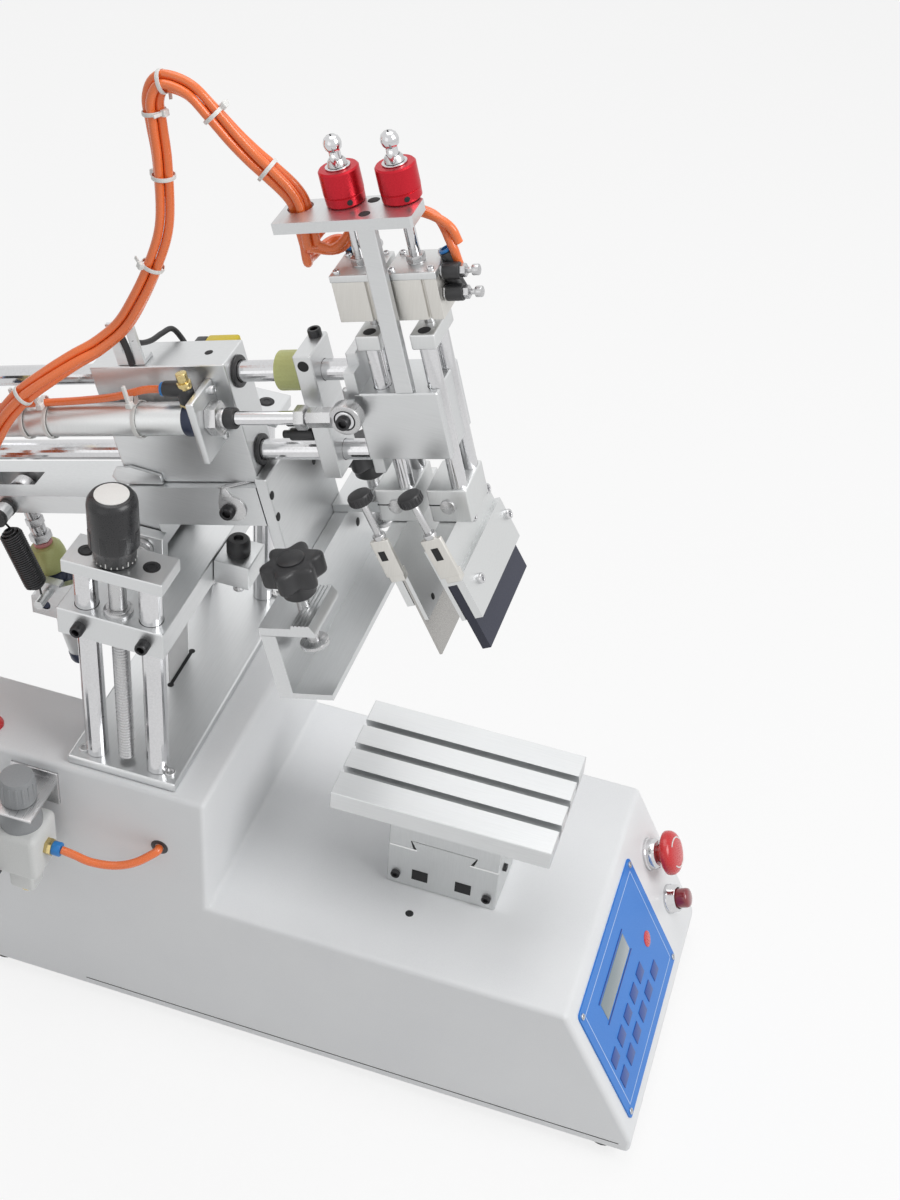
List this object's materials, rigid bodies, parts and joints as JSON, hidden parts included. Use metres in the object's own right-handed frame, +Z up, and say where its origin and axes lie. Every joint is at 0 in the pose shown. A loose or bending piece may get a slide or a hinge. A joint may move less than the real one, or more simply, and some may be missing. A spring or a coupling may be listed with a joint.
{
  "type": "rocker arm screen printing machine",
  "caption": "Bench screen printing machine: sloped control cabinet, slotted table, height-adjustable post lift, rocking arm with sliding print head, squeegee and flood blade.",
  "frame": {"origin": "middle of the bounding box in plan, on the floor under the feet", "axes": "-Y towards the operator's control slope, +Y to the rear, +X to the operator's right, +Z up"},
  "size_m": [0.333, 0.65, 0.8525],
  "materials": {
    "white_paint": "satin white powder coat",
    "blue_film": "blue membrane film",
    "chromed_steel": "hard chrome",
    "ground_steel": "ground steel",
    "black_steel": "blackened spring steel",
    "machined_aluminium": "machined, clear anodised",
    "red_anodised": "red anodised",
    "red_plastic": "gloss red",
    "red_lens": "dark red lens",
    "black_plastic": "moulded black",
    "grey_plastic": "moulded grey",
    "pale_plastic": "pale die casting",
    "amber_urethane": "yellow-green polyurethane",
    "squeegee_rubber": "navy polyurethane blade",
    "orange_hose": "orange pneumatic tube"
  },
  "bodies": {
    "machine": {"cabinet": "white_paint", "control_panel": "blue_film", "stop_button_collar": "chromed_steel", "lamp_bezel": "chromed_steel", "slide_base": "ground_steel", "deck_plate": "machined_aluminium", "near_front_post": "chromed_steel", "near_rear_post": "chromed_steel", "far_front_post": "chromed_steel", "far_rear_post": "chromed_steel", "near_bridge": "machined_aluminium", "far_bridge": "machined_aluminium", "air_regulator": "pale_plastic", "regulator_hose": "orange_hose"},
    "stop_button": {"stop_button": "red_plastic"},
    "lamp_button": {"lamp_button": "red_lens"},
    "regulator_knob": {"regulator_knob": "grey_plastic"},
    "table": {"slide_carriage": "ground_steel", "slot_table": "machined_aluminium"},
    "dial": {"height_dial": "black_plastic"},
    "lift": {"lift_plate": "machined_aluminium", "stop_block": "machined_aluminium", "pivot_bracket": "machined_aluminium", "rocker_bracket": "machined_aluminium", "return_spring": "black_steel"},
    "rocking_cylinder": {"rocking_cylinder": "machined_aluminium"},
    "rocking_rod": {"rocking_rod": "chromed_steel"},
    "arm": {"rocker_arm": "machined_aluminium", "front_plate": "machined_aluminium", "screen_bar": "machined_aluminium", "near_clamp_bar": "machined_aluminium", "far_clamp_bar": "machined_aluminium", "bearing_block": "machined_aluminium", "drive_cylinder": "machined_aluminium", "hose_clip": "machined_aluminium", "hose_loop": "orange_hose"},
    "near_clamp_knob": {"near_clamp_knob": "black_plastic"},
    "far_clamp_knob": {"far_clamp_knob": "black_plastic"},
    "head": {"guide_rods": "chromed_steel", "rod_clamp": "machined_aluminium", "head_bumper": "amber_urethane", "head_block": "machined_aluminium", "drive_rod": "chromed_steel", "upright_bar": "machined_aluminium", "top_plate": "machined_aluminium", "flood_cylinder": "machined_aluminium", "squeegee_cylinder": "machined_aluminium"},
    "flood_adjuster": {"flood_adjuster": "red_anodised"},
    "squeegee_adjuster": {"squeegee_adjuster": "red_anodised"},
    "flood": {"flood_yoke": "machined_aluminium", "flood_holder": "machined_aluminium", "flood_blade": "ground_steel"},
    "squeegee": {"squeegee_yoke": "machined_aluminium", "squeegee_holder": "machined_aluminium", "squeegee_blade": "squeegee_rubber"}
  },
  "joints": [
    {"name": "stop_button_push", "type": "slide", "parent": "machine", "child": "stop_button", "axis": [0, 0.8859, -0.4639], "range_m": [0, 0.004]},
    {"name": "lamp_button_push", "type": "slide", "parent": "machine", "child": "lamp_button", "axis": [0, 0.8859, -0.4639], "range_m": [0, 0.0025], "stiffness_N_per_m": 500},
    {"name": "regulator_turn", "type": "hinge", "parent": "machine", "child": "regulator_knob", "pos_m": [-0.1325, 0.205, 0.287], "axis": [0, 0, 1], "continuous": true},
    {"name": "table_shift", "type": "slide", "parent": "machine", "child": "table", "axis": [1, 0, 0], "range_m": [-0.01, 0.01]},
    {"name": "lift_height", "type": "slide", "parent": "machine", "child": "lift", "axis": [0, 0, 1], "range_m": [-0.06, 0.025], "deforming": ["hose_loop"]},
    {"name": "dial_turn", "type": "hinge", "parent": "machine", "child": "dial", "pos_m": [-0.0825, 0.132, 0.53], "axis": [0, 0, 1], "range_deg": [-4330, 1810]},
    {"name": "arm_rock", "type": "hinge", "parent": "lift", "child": "arm", "pos_m": [0.0115, 0.1373, 0.4719], "axis": [1, 0, 0], "range_deg": [0, 15.7], "deforming": ["return_spring"]},
    {"name": "rocking_swing", "type": "hinge", "parent": "lift", "child": "rocking_cylinder", "pos_m": [0.0115, 0.233, 0.375], "axis": [1, 0, 0], "range_deg": [-0.2, 5.7]},
    {"name": "rocking_stroke", "type": "slide", "parent": "rocking_cylinder", "child": "rocking_rod", "axis": [0, 0.2671, 0.9637], "range_m": [-0.0005, 0.0325]},
    {"name": "head_stroke", "type": "slide", "parent": "arm", "child": "head", "axis": [0, -0.9627, 0.2706], "range_m": [0, 0.12]},
    {"name": "flood_drop", "type": "slide", "parent": "head", "child": "flood", "axis": [0, -0.2706, -0.9627], "range_m": [0, 0.025]},
    {"name": "squeegee_drop", "type": "slide", "parent": "head", "child": "squeegee", "axis": [0, -0.2706, -0.9627], "range_m": [0, 0.025]},
    {"name": "flood_adjuster_turn", "type": "hinge", "parent": "head", "child": "flood_adjuster", "pos_m": [0.0115, 0.00128, 0.80099], "axis": [0, 0.2706, 0.9627], "continuous": true},
    {"name": "squeegee_adjuster_turn", "type": "hinge", "parent": "head", "child": "squeegee_adjuster", "pos_m": [0.0115, -0.03723, 0.81181], "axis": [0, 0.2706, 0.9627], "continuous": true},
    {"name": "near_clamp_turn", "type": "hinge", "parent": "arm", "child": "near_clamp_knob", "pos_m": [-0.0595, -0.00065, 0.51068], "axis": [0, 0.2706, 0.9627], "continuous": true},
    {"name": "far_clamp_turn", "type": "hinge", "parent": "arm", "child": "far_clamp_knob", "pos_m": [0.0985, -0.00065, 0.51068], "axis": [0, 0.2706, 0.9627], "continuous": true}
  ],
  "couplings": [
    {"joint": "dial_turn", "follows": "lift_height", "rad_per_m": 1256.6},
    {"joint": "rocking_swing", "follows": "arm_rock", "ratio": 0.34695},
    {"joint": "rocking_stroke", "follows": "arm_rock", "m_per_rad": 0.11485}
  ]
}
